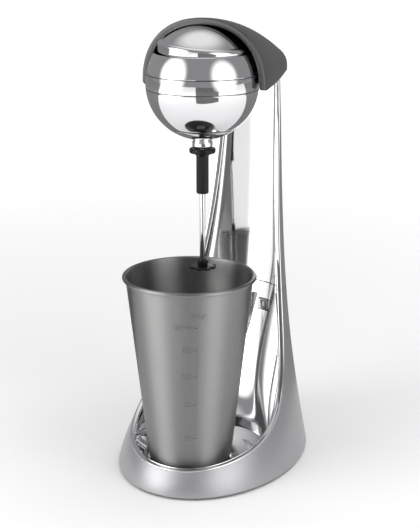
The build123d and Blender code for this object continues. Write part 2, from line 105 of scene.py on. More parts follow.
class MixerSizes(bpy.types.PropertyGroup):
    """Sizes of the mixer's visible pieces."""

    seam: length(name="Seam", description="Groove between the pieces of the head", default=0.6 * MM)
    shell_wall: length(name="Shell wall", description="Wall of the outer casing", default=2.0 * MM)
    liner_inset: length(
        name="Liner inset", description="From the casing's outside to the liner's face", default=4.1 * MM
    )
    liner_wall: length(name="Liner wall", description="Wall of the chrome liner", default=1.5 * MM)
    liner_blend: length(
        name="Liner blend", description="Roundness between the liner's sides and its trough", default=5.0 * MM
    )
    tray_fillet: length(
        name="Tray fillet", description="Radius at the foot of the liner", default=3.0 * MM
    )
    trim_height: length(
        name="Lip trim height", description="Height of the bright lip trim", default=2.2 * MM
    )
    hood_wall: length(name="Hood wall", description="Wall of the hood", default=1.2 * MM)
    hood_rim: length(
        name="Hood rim", description="Width of the rim round the hood's mouth", default=4.4 * MM
    )
    hood_corner: length(
        name="Hood corner", description="Radius of the hood's rear edge", default=7.0 * MM
    )
    bowl_wall: length(name="Bowl wall", description="Wall of the ball's bowls", default=1.8 * MM)
    cup_wall: length(name="Cup wall", description="Sheet of the cup", default=0.7 * MM)
    cup_rim: length(name="Cup rim", description="Radius of the rolled rim", default=1.5 * MM)
    cup_corner: length(name="Cup corner", description="Radius round the cup's bottom", default=4.0 * MM)
    scale_angle: bpy.props.FloatProperty(
        name="Scale place",
        description="Where the scale stands round the cup, from its front",
        default=math.radians(30.5),
        subtype="ANGLE",
    )
    emboss: length(name="Emboss", description="Rise of the scale above the cup", default=0.4 * MM)
    whisk_notches: bpy.props.IntProperty(
        name="Whisk notches", description="Notches round the whisk", default=8, min=3
    )


class MixerFinish(bpy.types.PropertyGroup):
    """Colours of the mixer's finishes."""

    silver: colour(name="Silver", description="Satin paint of the casings", default=(0.42, 0.42, 0.43))
    hood: colour(
        name="Hood", description="Darker satin paint of the hood", default=(0.115, 0.115, 0.118)
    )
    chrome: colour(name="Chrome", description="Plating of the head and liner", default=(0.8, 0.8, 0.81))
    steel: colour(name="Steel", description="Brushed steel of the cup", default=(0.32, 0.318, 0.315))
    black: colour(name="Black", description="Glossy black plastic", default=(0.006, 0.006, 0.0065))
    floor: colour(name="Floor", description="Pale studio floor", default=(0.93, 0.93, 0.93))


def sizes():
    return bpy.context.scene.mixer_sizes


def finish_colours():
    return bpy.context.scene.mixer_finish


# ------------------------------------------------------------ shader kit
class Value:
    """A shader value. Python's operators on it add Math nodes."""

    def __init__(self, kit, socket):
        self.kit = kit
        self.socket = socket

    def maths(self, operation, first, second):
        return self.kit.value("ShaderNodeMath", {"operation": operation}, {0: first, 1: second})

    def __add__(self, other):
        return self.maths("ADD", self, other)

    def __radd__(self, other):
        return self.maths("ADD", other, self)

    def __mul__(self, other):
        return self.maths("MULTIPLY", self, other)

    def __rmul__(self, other):
        return self.maths("MULTIPLY", other, self)

    def __gt__(self, other):
        return self.maths("GREATER_THAN", self, other)


class Finish:
    """One material and its nodes."""

    def __init__(self, name, roughness, metallic=0.0, **shader_values):
        self.material = bpy.data.materials.new(name)
        self.material.use_nodes = True
        self.tree = self.material.node_tree
        self.shader = self.tree.nodes["Principled BSDF"]
        self.shader.inputs["Roughness"].default_value = roughness
        self.shader.inputs["Metallic"].default_value = metallic
        for socket, value in shader_values.items():
            self.shader.inputs[socket.replace("_", " ")].default_value = value

    def node(self, kind, settings=None, inputs=None):
        """Add a node, its settings first and then its sockets' values or links."""
        made = self.tree.nodes.new(kind)
        for name, value in (settings or {}).items():
            if name == "stops":
                self.set_stops(made.color_ramp, value)
            else:
                setattr(made, name, value)
        for socket, value in (inputs or {}).items():
            self.feed(made.inputs[socket], value)
        return made

    def set_stops(self, ramp, stops):
        for index, (place, colour) in enumerate(stops):
            if index < 2:
                stop = ramp.elements[index]
                stop.position = place
            else:
                stop = ramp.elements.new(place)
            stop.color = (*colour, 1.0)

    def feed(self, socket, value):
        if isinstance(value, Value):
            self.tree.links.new(value.socket, socket)
        elif isinstance(value, bpy.types.NodeSocket):
            self.tree.links.new(value, socket)
        else:
            socket.default_value = value

    def value(self, kind, settings=None, inputs=None, output=0):
        return Value(self, self.node(kind, settings, inputs).outputs[output])

    def place(self, scale=(1.0, 1.0, 1.0), move=(0.0, 0.0, 0.0)):
        """Object coordinates, stretched and moved."""
        coordinates = self.node("ShaderNodeTexCoord").outputs["Object"]
        mapping = self.node(
            "ShaderNodeMapping", None, {"Vector": coordinates, "Scale": scale, "Location": move}
        )
        return mapping.outputs[0]

    def noise(self, scale, detail=3.0, stretch=(1.0, 1.0, 1.0)):
        return self.value(
            "ShaderNodeTexNoise", None, {"Vector": self.place(stretch), "Scale": scale, "Detail": detail}
        )

    def colour(self, low, high, factor):
        """A colour between two, by a factor."""
        mixed = self.node(
            "ShaderNodeMix",
            {"data_type": "RGBA"},
            {"Factor": factor, 6: (*low, 1.0), 7: (*high, 1.0)},
        )
        self.feed(self.shader.inputs["Base Color"], mixed.outputs[2])

    def rough(self, value):
        self.feed(self.shader.inputs["Roughness"], value)

    def bump(self, height, distance, strength=1.0):
        made = self.node(
            "ShaderNodeBump", None, {"Height": height, "Distance": distance, "Strength": strength}
        )
        self.feed(self.shader.inputs["Normal"], made.outputs[0])


def shade(colour, factor):
    """A colour made lighter or darker."""
    return tuple(channel * factor for channel in colour)


def satin_silver(name, silver):
    """Silver paint with fine flakes and the faint waves of its moulding."""
    finish = Finish(name, 0.4, 0.75, Coat_Weight=0.15, Coat_Roughness=0.25)
    flakes = finish.noise(2600.0, 2.0)
    wear = finish.noise(14.0, 4.0)
    finish.colour(shade(silver, 0.9), shade(silver, 1.1), flakes * 0.7 + wear * 0.3)
    finish.rough(0.34 + wear * 0.08 + flakes * 0.04)
    finish.bump(flakes, 0.00002)
    return finish.material


def polished_chrome():
    """Plating, with soft smears and a very slight waviness."""
    finish = Finish("chrome", 0.05, 1.0)
    chrome = finish_colours().chrome
    smear = finish.noise(22.0, 5.0)
    dust = finish.noise(900.0, 2.0)
    finish.colour(shade(chrome, 0.97), chrome, smear)
    finish.rough(0.035 + smear * 0.04 + (dust > 0.72) * 0.05)
    finish.bump(smear, 0.00004)
    return finish.material


def brushed_steel():
    """Steel sheet, brushed level round the cup."""
    finish = Finish("brushed steel", 0.4, 1.0, Anisotropic=0.95, Anisotropic_Rotation=0.25)
    steel = finish_colours().steel
    lines = finish.noise(5.0, 6.0, (4.0, 4.0, 900.0))
    fine = finish.noise(9.0, 3.0, (10.0, 10.0, 3400.0))
    cloud = finish.noise(18.0, 3.0)
    grain = lines * 0.6 + fine * 0.4
    finish.colour(shade(steel, 0.86), shade(steel, 1.12), grain)
    finish.rough(0.3 + grain * 0.14 + cloud * 0.06)
    finish.bump(grain, 0.00005)
    return finish.material


def metal(name, colour, roughness, scale, stretch=(1.0, 1.0, 1.0), depth=0.00002):
    """Plain machined, plated or cast metal with an even grain."""
    finish = Finish(name, roughness, 1.0)
    grain = finish.noise(scale, 4.0, stretch)
    patches = finish.noise(scale / 20, 3.0)
    finish.colour(shade(colour, 0.85), shade(colour, 1.12), grain * 0.6 + patches * 0.4)
    finish.rough(roughness * 0.8 + grain * roughness * 0.4)
    finish.bump(grain, depth)
    return finish.material


def plastic(name, colour, roughness, scale, depth, **shader_values):
    """Moulded plastic or rubber with an even texture."""
    finish = Finish(name, roughness, 0.0, **shader_values)
    grain = finish.noise(scale, 3.0)
    patches = finish.noise(scale / 25, 3.0)
    finish.colour(shade(colour, 0.85), shade(colour, 1.25), grain * 0.5 + patches * 0.5)
    finish.rough(roughness * 0.85 + patches * roughness * 0.3)
    finish.bump(grain, depth)
    return finish.material


def make_finishes():
    """Materials by the names of the record's slots."""
    black = tuple(finish_colours().black)
    return {
        "silver_plastic": satin_silver("satin silver", finish_colours().silver),
        "chrome": polished_chrome(),
        "brushed_steel": brushed_steel(),
        "dark_plastic": plastic("dark plastic", (0.03, 0.03, 0.032), 0.5, 1400.0, 0.00005),
        "black_plastic": plastic(
            "black plastic", black, 0.25, 600.0, 0.000005, Specular_IOR_Level=0.25
        ),
        "rubber": plastic("rubber", (0.03, 0.03, 0.03), 0.8, 1800.0, 0.00008),
        "clear_plastic": plastic(
            "clear plastic", (0.82, 0.84, 0.86), 0.08, 300.0, 0.00001, Transmission_Weight=0.75, IOR=1.46
        ),
        "carbon": plastic("carbon", (0.035, 0.035, 0.036), 0.6, 2500.0, 0.00006),
        "board": plastic("board", (0.02, 0.13, 0.05), 0.35, 700.0, 0.00002, Coat_Weight=0.4),
        "screw_steel": metal("screw steel", (0.6, 0.6, 0.6), 0.3, 900.0),
        "frame_steel": metal("frame steel", (0.55, 0.55, 0.56), 0.38, 500.0, (1.0, 1.0, 0.2)),
        "rod_steel": metal("rod steel", (0.75, 0.75, 0.75), 0.12, 800.0, (1.0, 1.0, 3.0), 0.000005),
        "cast_weight": metal("cast iron", (0.16, 0.16, 0.16), 0.6, 700.0, (1.0, 1.0, 1.0), 0.0001),
        "bronze": metal("sintered bronze", (0.55, 0.38, 0.18), 0.4, 1500.0, (1.0, 1.0, 1.0), 0.00005),
        "copper": metal("copper", (0.72, 0.4, 0.25), 0.3, 600.0, (1.0, 1.0, 4.0)),
    }


materials = {}


def finish_piece(piece, body, slot, *replaced):
    """Give a piece its finish and its body, and hide the CAD nodes that it stands for."""
    piece.data.materials.clear()
    piece.data.materials.append(materials[slot])
    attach(piece, body)
    if replaced:
        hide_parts(*replaced)
    return piece


# ------------------------------------------------------------ modelling by hand
def deselect():
    if bpy.context.object and bpy.context.object.mode != "OBJECT":
        bpy.ops.object.mode_set(mode="OBJECT")
    bpy.ops.object.select_all(action="DESELECT")


def activate(piece):
    """Select one piece alone and make it the active one."""
    deselect()
    piece.select_set(True)
    bpy.context.view_layer.objects.active = piece


def edit(piece, select="SELECT"):
    """Open a piece in edit mode, with all or none of it selected."""
    activate(piece)
    bpy.ops.object.mode_set(mode="EDIT")
    bpy.ops.mesh.select_all(action=select)


def edit_chosen(piece, parts, chosen):
    """Open a piece in edit mode with only the chosen vertices or edges selected."""
    edit(piece, "DESELECT")
    close_edit()
    for part in getattr(piece.data, parts):
        part.select = chosen(part)
    bpy.ops.object.mode_set(mode="EDIT")


def close_edit():
    bpy.ops.object.mode_set(mode="OBJECT")


def clean(piece):
    """Merge doubles and turn the faces outwards."""
    edit(piece)
    bpy.ops.mesh.remove_doubles(threshold=0.005 * MM)
    bpy.ops.mesh.normals_make_consistent(inside=False)
    close_edit()


def move(piece, by):
    edit(piece)
    bpy.ops.transform.translate(value=by)
    close_edit()


def fill_end(sheet, at_end, border):
    """Close the open end of a sheet with a face that has an inset border."""
    edit_chosen(
        sheet, "edges", lambda edge: all(at_end(sheet.data.vertices[v].co) for v in edge.vertices)
    )
    bpy.ops.mesh.select_mode(type="EDGE")
    bpy.ops.mesh.edge_face_add()
    bpy.ops.mesh.inset(thickness=border)
    bpy.ops.mesh.select_mode(type="VERT")
    close_edit()


def modify(piece, kind, **settings):
    """Add a modifier and apply it."""
    activate(piece)
    bpy.ops.object.modifier_add(type=kind)
    modifier = piece.modifiers[-1]
    for name, value in settings.items():
        setattr(modifier, name, value)
    bpy.ops.object.modifier_apply(modifier=modifier.name)


def carve(piece, cutter):
    """Cut a piece with another and take the cutter away."""
    modify(piece, "BOOLEAN", operation="DIFFERENCE", object=cutter, solver="EXACT")
    bpy.data.objects.remove(cutter)


def bevel(piece, width, segments=2, angle=35.0):
    modify(
        piece, "BEVEL", width=width, segments=segments,
        limit_method="ANGLE", angle_limit=math.radians(angle), harden_normals=False,
    )


def smooth(piece, angle=35.0):
    activate(piece)
    bpy.ops.object.shade_smooth_by_angle(angle=math.radians(angle))


def named(name):
    piece = bpy.context.object
    piece.name = name
    piece.data.name = name
    return piece


def arc(middle, radius, start, end, count):
    """Points of an arc in (radius, height), from start to end in degrees."""
    points = []
    for step in range(count + 1):
        turn = math.radians(start + (end - start) * step / count)
        points.append((middle[0] + radius * math.cos(turn), middle[1] + radius * math.sin(turn)))
    return points


def turned(name, outline, y, edge=0.25 * MM, facets=FACET):
    """A piece turned about an upright axis from a closed outline of (radius, height)."""
    deselect()
    radius, height = outline[0]
    bpy.ops.mesh.primitive_plane_add(size=MM, location=(0.0, 0.0, 0.0))
    piece = named(name)
    edit(piece)
    bpy.ops.mesh.merge(type="CENTER")
    bpy.ops.transform.translate(value=(radius, y, height))
    for point in outline[1:] + outline[:1]:
        bpy.ops.mesh.extrude_vertices_move(
            TRANSFORM_OT_translate={"value": (point[0] - radius, 0.0, point[1] - height)}
        )
        radius, height = point
    bpy.ops.mesh.select_all(action="SELECT")
    bpy.ops.mesh.remove_doubles(threshold=0.005 * MM)
    bpy.ops.mesh.select_all(action="SELECT")
    bpy.ops.mesh.spin(steps=facets, angle=math.tau, center=(0.0, y, 0.0), axis=(0.0, 0.0, 1.0))
    close_edit()
    clean(piece)
    if edge:
        bevel(piece, edge)
    smooth(piece)
    return piece


def block(name, low, high, edge):
    """A block between two corners, with rounded edges."""
    deselect()
    middle = (Vector(low) + Vector(high)) / 2
    bpy.ops.mesh.primitive_cube_add(size=1.0)
    piece = named(name)
    edit(piece)
    bpy.ops.transform.resize(value=Vector(high) - Vector(low), center_override=(0.0, 0.0, 0.0))
    bpy.ops.transform.translate(value=middle)
    close_edit()
    if edge:
        bevel(piece, edge, 3)
    smooth(piece)
    return piece


def surface(name, rows):
    """A grid whose points are laid on a form, row by row."""
    deselect()
    across = len(rows[0]) - 1
    bpy.ops.mesh.primitive_grid_add(x_subdivisions=across, y_subdivisions=len(rows) - 1, size=1.0)
    piece = named(name)
    flat = [point for row in rows for point in row]
    for vertex, point in zip(piece.data.vertices, flat, strict=True):
        vertex.co = point
    return piece


def face_away(piece, middle):
    """Turn an open sheet's faces away from a point on each height's axis."""
    clean(piece)
    total = 0.0
    for face in piece.data.polygons:
        across = face.center - Vector((middle[0], middle[1], face.center.z))
        total += face.normal.dot(across) * face.area
    if total < 0:
        edit(piece)
        bpy.ops.mesh.flip_normals()
        close_edit()


def cut_off(piece, height, above):
    """Cut a piece at a height and keep the part below or above it."""
    edit(piece)
    bpy.ops.mesh.bisect(
        plane_co=(0.0, 0.0, height), plane_no=(0.0, 0.0, 1.0), clear_outer=not above, clear_inner=above
    )
    close_edit()


def copied(piece, name):
    activate(piece)
    bpy.ops.object.duplicate()
    return named(name)


# ------------------------------------------------------------ forms of the stand
def bezier(points, t):
    """Point at t on a cubic Bezier curve."""
    weights = ((1 - t) ** 3, 3 * t * (1 - t) ** 2, 3 * t**2 * (1 - t), t**3)
    return [sum(w * p[axis] for w, p in zip(weights, points)) for axis in range(len(points[0]))]


STAND_LINE = [
    (BASE_HALF, FRONT, FOOT),
    (BASE_HALF - 11.7 * MM, FRONT + 9.0 * MM, 55.0 * MM),
    (27.0 * MM, BACK - 34.0 * MM, 90.0 * MM),
    (23.3 * MM, BACK - 30.0 * MM, COLUMN_TOP),
]
LIP_LINE = [
    (FRONT + 2.5 * MM, 18.0 * MM),
    (18.5 * MM, 32.0 * MM),
    (BACK - 37.5 * MM, 60.0 * MM),
    (BACK - 12.5 * MM, COLUMN_TOP + 0.5 * MM),
]
TROUGH_CENTRE = FRONT + 44.0 * MM
TROUGH_LINE = [
    (BASE_HALF - 11.0 * MM, 2.0 * MM, TRAY),
    (BASE_HALF - 8.0 * MM, BACK - 44.0 * MM, 18.0 * MM),
    (BASE_HALF - 14.0 * MM, BACK - 22.0 * MM, 55.0 * MM),
    (BASE_HALF + 40.0 * MM, BACK - 8.0 * MM, COLUMN_TOP + 8.0 * MM),
]
LIP_STEPS = 110
SHELL_STEPS = 36
LINER_STEPS = 96
BASE_SHARE = 0.5             # share of the lip line that faces the foot's edge


def crossing(low, high, passed):
    """Halve an interval down to the place where a test turns true."""
    for _ in range(40):
        middle = (low + high) / 2
        if passed(middle):
            high = middle
        else:
            low = middle
    return high


def at_height(line, height):
    """The parameter where a line of (..., height) passes a height."""
    return crossing(0.0, 1.0, lambda t: bezier(line, t)[-1] >= height)


def stand_oval(t, inset):
    """Half width, centre, half depth and height of the stand's oval at t."""
    half, front, height = bezier(STAND_LINE, t)
    return half - inset, (front + BACK) / 2, (BACK - front) / 2 - inset, height


def on_stand(angle, t, inset=0.0):
    """A point on the stand, its angle counted from the front."""
    half, middle, depth, height = stand_oval(t, inset)
    return Vector((half * math.sin(angle), middle - depth * math.cos(angle), height))


def lip_angle(share, inset):
    """Angle and oval of the lip line at a share of its length."""
    y, height = bezier(LIP_LINE, share)
    t = at_height(STAND_LINE, min(height, COLUMN_TOP))
    _, middle, depth, _ = stand_oval(t, inset)
    cosine = (middle - y) / depth
    return math.acos(max(-1.0, min(1.0, cosine))), t


def lip_shares(inset):
    """Shares of the lip line from the stand's front up to the column's top."""
    start = crossing(0.0, 0.3, lambda share: lip_angle(share, inset)[0] > 0.0)
    return [start + (1 - start) * (step / LIP_STEPS) ** 1.2 for step in range(LIP_STEPS + 1)]


def both_sides(shares):
    """Sides and shares from the left top of the lip, round the front, to the right top."""
    return [(-1, share) for share in reversed(shares)] + [(1, share) for share in shares[1:]]


def make_shell_sheet():
    """The casing's outside, from the lip to the foot's edge and the back."""
    rows = []
    shares = lip_shares(0.0)
    start = shares[0]
    for side, share in both_sides(shares):
        angle, t = lip_angle(share, 0.0)
        reach = (share - start) / (BASE_SHARE - start)
        if reach < 1:
            far_angle, far_t = math.pi * reach, 0.0
        else:
            far_angle, far_t = math.pi, (share - BASE_SHARE) / (1 - BASE_SHARE)
        row = []
        for step in range(SHELL_STEPS + 1):
            part = step / SHELL_STEPS
            point = on_stand(angle + (far_angle - angle) * part, t + (far_t - t) * part)
            row.append((side * point.x, point.y, point.z))
        rows.append(row)
    return surface("shell_sheet", rows)


def ray_to_oval(y, direction, middle, half, depth):
    """Distance along a level ray, from a point on the axis inside an oval, to the oval."""
    across, along = direction[0] / half, direction[1] / depth
    start = (y - middle) / depth
    a = across * across + along * along
    b = start * along
    c = start * start - 1
    return (-b + math.sqrt(max(0.0, b * b - a * c))) / a


def soft_least(first, second, blend):
    """The lesser of two numbers, rounded where they meet."""
    mix = max(0.0, min(1.0, 0.5 + 0.5 * (second - first) / blend))
    return second * (1 - mix) + first * mix - blend * mix * (1 - mix)


def liner_row(height, eye_y, reach, inset):
    """Points of the liner at one height, from its left lip round the back to its right lip."""
    half, middle, depth, _ = stand_oval(at_height(STAND_LINE, height), inset)
    trough_half, trough_back, _ = bezier(TROUGH_LINE, at_height(TROUGH_LINE, height))
    deeper = inset - sizes().liner_inset
    trough_half -= deeper
    trough_depth = trough_back - TROUGH_CENTRE - deeper
    blend = sizes().liner_blend
    row = []
    for step in range(LINER_STEPS + 1):
        angle = reach * (2 * step / LINER_STEPS - 1)
        direction = (math.sin(angle), math.cos(angle))
        side = ray_to_oval(eye_y, direction, middle, half, depth)
        back = ray_to_oval(eye_y, direction, TROUGH_CENTRE, trough_half, trough_depth)
        distance = soft_least(side, back, blend)
        row.append((distance * direction[0], eye_y + distance * direction[1], height))
    return row


def make_liner_sheet():
    """The tray's floor and wall and the column's trough, in one sheet."""
    rows = []
    inset = sizes().liner_inset
    fillet = sizes().tray_fillet
    eye = -25.0 * MM         # the rays start here, and further back up the column
    fillet_steps = 6
    for step in range(fillet_steps):
        turn = math.pi / 2 * step / fillet_steps
        rise = fillet * (1 - math.cos(turn))
        rows.append(liner_row(TRAY + rise, eye, math.pi, inset + fillet * (1 - math.sin(turn))))
    for share in lip_shares(inset):
        y, height = bezier(LIP_LINE, share)
        height = min(height, COLUMN_TOP)
        angle, t = lip_angle(share, inset)
        lip = on_stand(angle, t, inset)
        reach = math.atan2(lip.x, y - eye) if y < eye else math.pi / 2
        rows.append(liner_row(height, max(y, eye), reach, inset))
    sheet = surface("liner_sheet", rows)
    clean(sheet)
    fill_end(sheet, lambda point: point.z < TRAY + 0.01 * MM, 6.0 * MM)
    return sheet


def make_trim_ring():
    """The bright bead on the lip, swept along it as a rounded strip."""
    rows = []
    around = 20
    squareness = 0.7
    half_width = sizes().liner_inset / 2 + 0.05 * MM
    half_height = sizes().trim_height / 2
    path = []
    for side, share in both_sides(lip_shares(0.0)):
        angle, t = lip_angle(share, 0.0)
        half, _, depth, _ = stand_oval(t, 0.0)
        point = on_stand(angle, t)
        inward = Vector((-math.sin(angle) / half, math.cos(angle) / depth, 0.0)).normalized()
        mirror = Vector((side, 1.0, 1.0))
        path.append((point * mirror, inward * mirror))
    for index, (point, inward) in enumerate(path):
        before = path[max(index - 1, 0)][0]
        after = path[min(index + 1, len(path) - 1)][0]
        along = (after - before).normalized()
        rise = inward.cross(along).normalized()
        inward = along.cross(rise).normalized()
        middle = point + inward * half_width
        row = []
        for step in range(around + 1):
            turn = math.tau * step / around
            across = math.copysign(abs(math.cos(turn)) ** squareness, math.cos(turn))
            up = math.copysign(abs(math.sin(turn)) ** squareness, math.sin(turn))
            row.append(middle + inward * half_width * across + rise * half_height * up)
        rows.append(row)
    return surface("trim_ring", rows)


def halves(sheet, name, gap=0.15 * MM):
    """Cut a sheet of the stand at the parting line, into a lower and an upper piece."""
    upper = copied(sheet, "upper_" + name)
    sheet.name = sheet.data.name = "lower_" + name
    cut_off(sheet, PARTING - gap, False)
    cut_off(upper, PARTING + gap, True)
    return sheet, upper


class MIXER_OT_stand(bpy.types.Operator):
    """Model the silver casings, the chrome liner and the lip trim"""

    bl_idname = "mixer.stand"
    bl_label = "Stand"

    def execute(self, context):
        sheet = make_shell_sheet()
        face_away(sheet, (0.0, 60.0 * MM))
        for piece in halves(sheet, "casing"):
            modify(piece, "SOLIDIFY", thickness=sizes().shell_wall, offset=-1.0)
            bevel(piece, 0.35 * MM, 2, 50.0)
            smooth(piece)
            finish_piece(piece, STAND, "silver_plastic", piece.name.replace("casing", "shell"))

        sheet = make_liner_sheet()
        face_away(sheet, (0.0, -20.0 * MM))
        for piece in halves(sheet, "trough", 0.35 * MM):
            modify(piece, "SOLIDIFY", thickness=sizes().liner_wall, offset=1.0)
            if piece.name == "lower_trough":
                self.cut_window(piece)
            smooth(piece, 40.0)
            finish_piece(piece, STAND, "chrome", piece.name.replace("trough", "liner"))

        ring = make_trim_ring()
        clean(ring)
        for piece in halves(ring, "trim"):
            smooth(piece, 50.0)
            finish_piece(piece, STAND, "chrome", piece.name.replace("trim", "lip_trim"))
        return {"FINISHED"}

    def cut_window(self, piece):
        """Cut the opening that the cup's button works through."""
        low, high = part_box("cup_button")
        room = Vector((0.4, 10.0, 0.4)) * MM
        carve(piece, block("window", low - room, high + room, 0.0))


# ------------------------------------------------------------ fittings of the stand
class MIXER_OT_fittings(bpy.types.Operator):
    """Model the cup's seat, guide rib and button, the feet and the cable inlet"""

    bl_idname = "mixer.fittings"
    bl_label = "Stand fittings"

    def execute(self, context):
        low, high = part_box("cup_seat_ring")
        outer = half_size("cup_seat_ring").x
        width = 4.2 * MM
        outline = [
            (outer - width, low.z), (outer, low.z), (outer - 1.2 * MM, high.z),
            (outer - width + 0.6 * MM, high.z),
        ]
        seat = turned("seat_ring", outline, CUP_Y, 0.5 * MM)
        finish_piece(seat, STAND, "clear_plastic", "cup_seat_ring")

        low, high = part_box("cup_guide_rib")
        rib = block("guide_rib", (low.x, low.y, low.z), (high.x, high.y + 6 * MM, high.z), 0.0)
        edit_chosen(rib, "vertices", lambda vertex: vertex.co.y < low.y + MM)
        bpy.ops.transform.translate(value=(0.0, 4.0 * MM, 0.0))
        bpy.ops.mesh.extrude_region_move(TRANSFORM_OT_translate={"value": (0.0, -4.0 * MM, 0.0)})
        bpy.ops.transform.resize(value=(0.5, 1.0, 1.0), center_override=(0.0, low.y, 0.0))
        close_edit()
        bevel(rib, 0.7 * MM, 3)
        smooth(rib)
        finish_piece(rib, STAND, "chrome", "cup_guide_rib")

        low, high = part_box("cup_button")
        button = block("push_button", low, high, 0.6 * MM)
        slot_x = (low.x + high.x) / 2
        slot_low = (slot_x - 0.6 * MM, low.y - MM, low.z + 2.2 * MM)
        slot_high = (slot_x + 0.6 * MM, low.y + 1.2 * MM, high.z - 1.6 * MM)
        carve(button, block("slot", slot_low, slot_high, 0.0))
        smooth(button)
        finish_piece(button, "cup_button", "chrome", "cup_button")

        self.feet()
        self.inlet()
        return {"FINISHED"}

    def feet(self):
        """Four round feet, the first turned and the others copied from it."""
        low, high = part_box("rubber_feet")
        radius = 7.5 * MM
        outline = [
            (0.0, low.z), (radius - 1.6 * MM, low.z), (radius, low.z + 1.2 * MM),
            (radius, high.z), (0.0, high.z),
        ]
        left, right = low.x + radius, high.x - radius
        front, back = low.y + radius, high.y - radius
        first = turned("foot_1", outline, front, 0.3 * MM, 48)
        move(first, (left, 0.0, 0.0))
        others = [(left, back), (right, front), (right, back)]
        for number, (x, y) in enumerate(others, 2):
            foot = copied(first, f"foot_{number}")
            move(foot, (x - left, y - front, 0.0))
            finish_piece(foot, STAND, "rubber")
        finish_piece(first, STAND, "rubber", "rubber_feet")

    def inlet(self):
        """The bush that the cable would run through, low on the back."""
        low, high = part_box("inlet_bush")
        middle = (low + high) / 2
        outer = half_size("inlet_bush").x
        flange = outer + 0.8 * MM
        bore = 3.6 * MM
        length = high.y - low.y
        outline = [
            (bore, 0.0), (outer, 0.0), (outer, length - MM), (flange, length - 0.8 * MM),
            (flange, length), (bore, length),
        ]
        bush = turned("cable_bush", outline, 0.0, 0.25 * MM, 64)
        edit(bush)
        bpy.ops.transform.rotate(value=math.pi / 2, orient_axis="X", center_override=(0.0, 0.0, 0.0))
        close_edit()
        move(bush, (middle.x, low.y, middle.z))
        finish_piece(bush, STAND, "black_plastic", "inlet_bush")


# ------------------------------------------------------------ hood
def hood_sheet():
    """The hood's outside: an arch that falls and narrows towards the back."""
    low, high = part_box("hood")
    front_half = half_size("hood").x
    front_top = high.z
    back_half = 24.6 * MM
    back_top = COLUMN_TOP + 18.0 * MM
    back = high.y
    corner = sizes().hood_corner
    mouth_corner = 3.0 * MM
    mouth_round = 1.5 * MM
    roundness = 0.61         # of the arch, from 0 for a ridge to 1 for a box
    lengthwise = 40
    half_arch = 32
    length = back - corner - SPINDLE_Y
    rows = []
    # shares run from the rim's inner edge (-2) over the rounded mouth (-1 to 0) and the
    # length (0 to 1) to the rounded rear edge (1 to 2)
    shares = [-2.0] + [-1.0 + step / 5 for step in range(5)]
    shares += [step / lengthwise for step in range(lengthwise + 1)]
    shares += [1.0 + step / 8 for step in range(1, 9)]
    for share in shares:
        y = SPINDLE_Y + mouth_round + (length - mouth_round) * max(0.0, min(share, 1.0))
        inset = 0.0
        if share < 0.0:
            turn = math.pi / 2 * min(1.0, -share)
            y -= mouth_round * math.sin(turn)
            inset = mouth_round * (1 - math.cos(turn))
        if share < -1.0:
            y = SPINDLE_Y + 0.5 * MM
            inset = sizes().hood_rim
        if share > 1.0:
            turn = math.pi / 2 * (share - 1.0)
            y += corner * math.sin(turn)
            inset = corner * (1 - math.cos(turn))
        along = max(0.0, y - SPINDLE_Y) / (back - SPINDLE_Y)
        half = front_half + (back_half - front_half) * along**1.25 - inset
        top = front_top + (back_top - front_top) * along**1.5 - inset
        handle = BALL_HEIGHT + (top - BALL_HEIGHT) * roundness
        curve = [(half, BALL_HEIGHT), (half, handle), (half * roundness, top), (0.0, top)]
        right = [(half, HOOD_LOW), (half, HOOD_LOW + (BALL_HEIGHT - HOOD_LOW) * 0.5)]
        right += [tuple(bezier(curve, step / half_arch)) for step in range(half_arch + 1)]
        outline = right + [(-x, z) for x, z in reversed(right[:-1])]
        row = []
        for x, z in outline:
            short = max(0.0, mouth_corner - (z - HOOD_LOW))
            back_off = mouth_corner - math.sqrt(mouth_corner**2 - short**2)
            row.append((x, y + back_off * max(0.0, min(1.0, 1.0 - share * 6)), z))
        rows.append(row)
    return surface("hood_cover", rows)


class MIXER_OT_hood(bpy.types.Operator):
    """Model the hood over the motor head"""

    bl_idname = "mixer.hood"
    bl_label = "Hood"

    def execute(self, context):
        hood = hood_sheet()
        middle = (0.0, 30.0 * MM)
        face_away(hood, middle)
        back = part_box("hood")[1].y
        fill_end(hood, lambda point: point.y > back - 0.02 * MM, 2.5 * MM)
        face_away(hood, middle)
        modify(hood, "SOLIDIFY", thickness=sizes().hood_wall, offset=-1.0)
        bevel(hood, 0.3 * MM, 2, 60.0)
        smooth(hood, 40.0)
        finish_piece(hood, STAND, "silver_plastic", "hood")
        hood.data.materials[0] = satin_silver("hood silver", finish_colours().hood)
        return {"FINISHED"}


# ------------------------------------------------------------ motor head
def bowl_outline(middle, low, high, wall):
    """Wall of the ball between two heights from its centre."""
    start = math.degrees(math.asin(low / BALL_RADIUS))
    end = math.degrees(math.asin(high / BALL_RADIUS))
    outer = arc((0.0, middle), BALL_RADIUS, start, end, 24)
    inner = arc((0.0, middle), BALL_RADIUS - wall, end, start, 24)
    return outer + inner


def groove_shade_outline(middle, low, seam):
    """A dark ring that lies just below the ball's face in one of its grooves: painted shade, standing in for
    the shadow inside the groove.
    """
    sunk = 0.12 * MM
    depth = 1.2 * MM
    outline = []
    for height, sink in ((low, depth), (low, sunk), (low + seam, sunk), (low + seam, depth)):
        outline.append((math.sqrt(BALL_RADIUS**2 - height**2) - sink, middle + height))
    return outline


